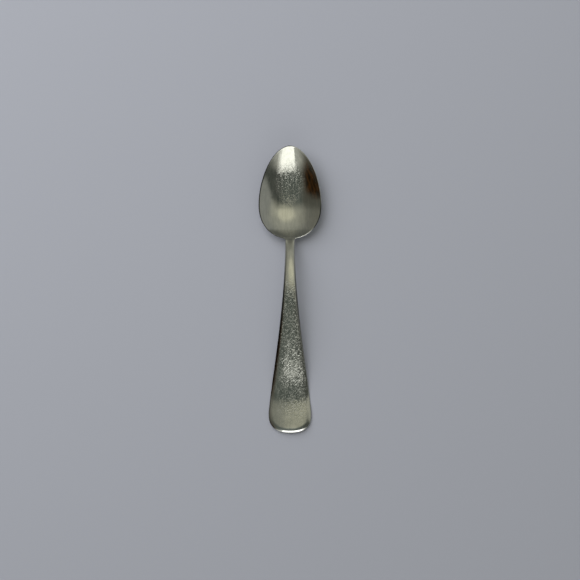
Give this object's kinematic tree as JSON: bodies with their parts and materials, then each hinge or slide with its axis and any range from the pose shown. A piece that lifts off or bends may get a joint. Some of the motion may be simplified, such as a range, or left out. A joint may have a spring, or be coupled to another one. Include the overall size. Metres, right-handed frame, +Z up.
{
  "type": "serving spoon",
  "caption": "Metal serving spoon with an egg-shaped dished bowl, a slender neck and an arched handle that widens to a rounded end.",
  "frame": {"origin": "on the table under the middle of the spoon's length, on its centre line", "axes": "+Y along the spoon towards the tip of the bowl, +X across it, +Z up from the table with the bowl's hollow upward"},
  "size_m": [0.0464, 0.212, 0.0155],
  "materials": {
    "satin_steel": "satin, with fine lengthwise brushing and a polished rim",
    "tumbled_steel": "tumbled, with many short scratches in all directions"
  },
  "bodies": {
    "root": {"bowl": "satin_steel", "handle": "tumbled_steel"}
  },
  "joints": []
}
